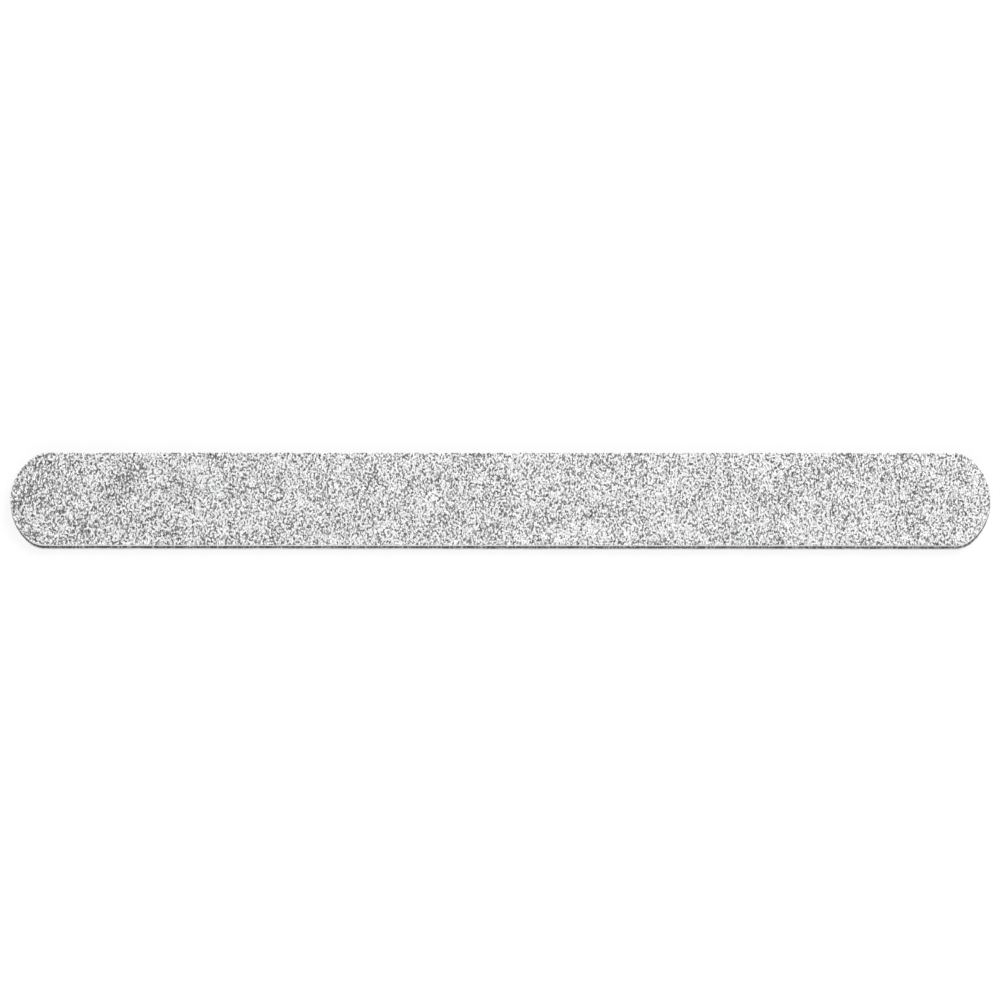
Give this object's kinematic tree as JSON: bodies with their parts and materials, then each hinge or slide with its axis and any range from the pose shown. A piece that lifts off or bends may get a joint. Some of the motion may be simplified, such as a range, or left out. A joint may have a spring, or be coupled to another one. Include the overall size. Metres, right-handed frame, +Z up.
{
  "type": "foot file",
  "caption": "Flat double-sided foot file: a stiff straight board with rounded ends and coarse pale abrasive on both faces, for smoothing hard skin and nails.",
  "frame": {"origin": "middle of the underside, on the plane that the board lies on", "axes": "+X along the board, +Y across it, +Z up out of the upper abrasive face"},
  "size_m": [0.1778, 0.019, 0.0021],
  "materials": {
    "core_plastic": "satin, die-cut edge",
    "adhesive": "cured acrylic glue film",
    "backing_paper": "uncoated, cut edge",
    "bond_resin": "semi-gloss resin",
    "grit": "coarse mineral grains under a pale anti-clog coat"
  },
  "bodies": {
    "root": {"core_board": "core_plastic", "upper_adhesive_film": "adhesive", "lower_adhesive_film": "adhesive", "upper_backing_paper": "backing_paper", "lower_backing_paper": "backing_paper", "upper_bond_coat": "bond_resin", "lower_bond_coat": "bond_resin", "upper_grit_layer": "grit", "lower_grit_layer": "grit"}
  },
  "joints": []
}
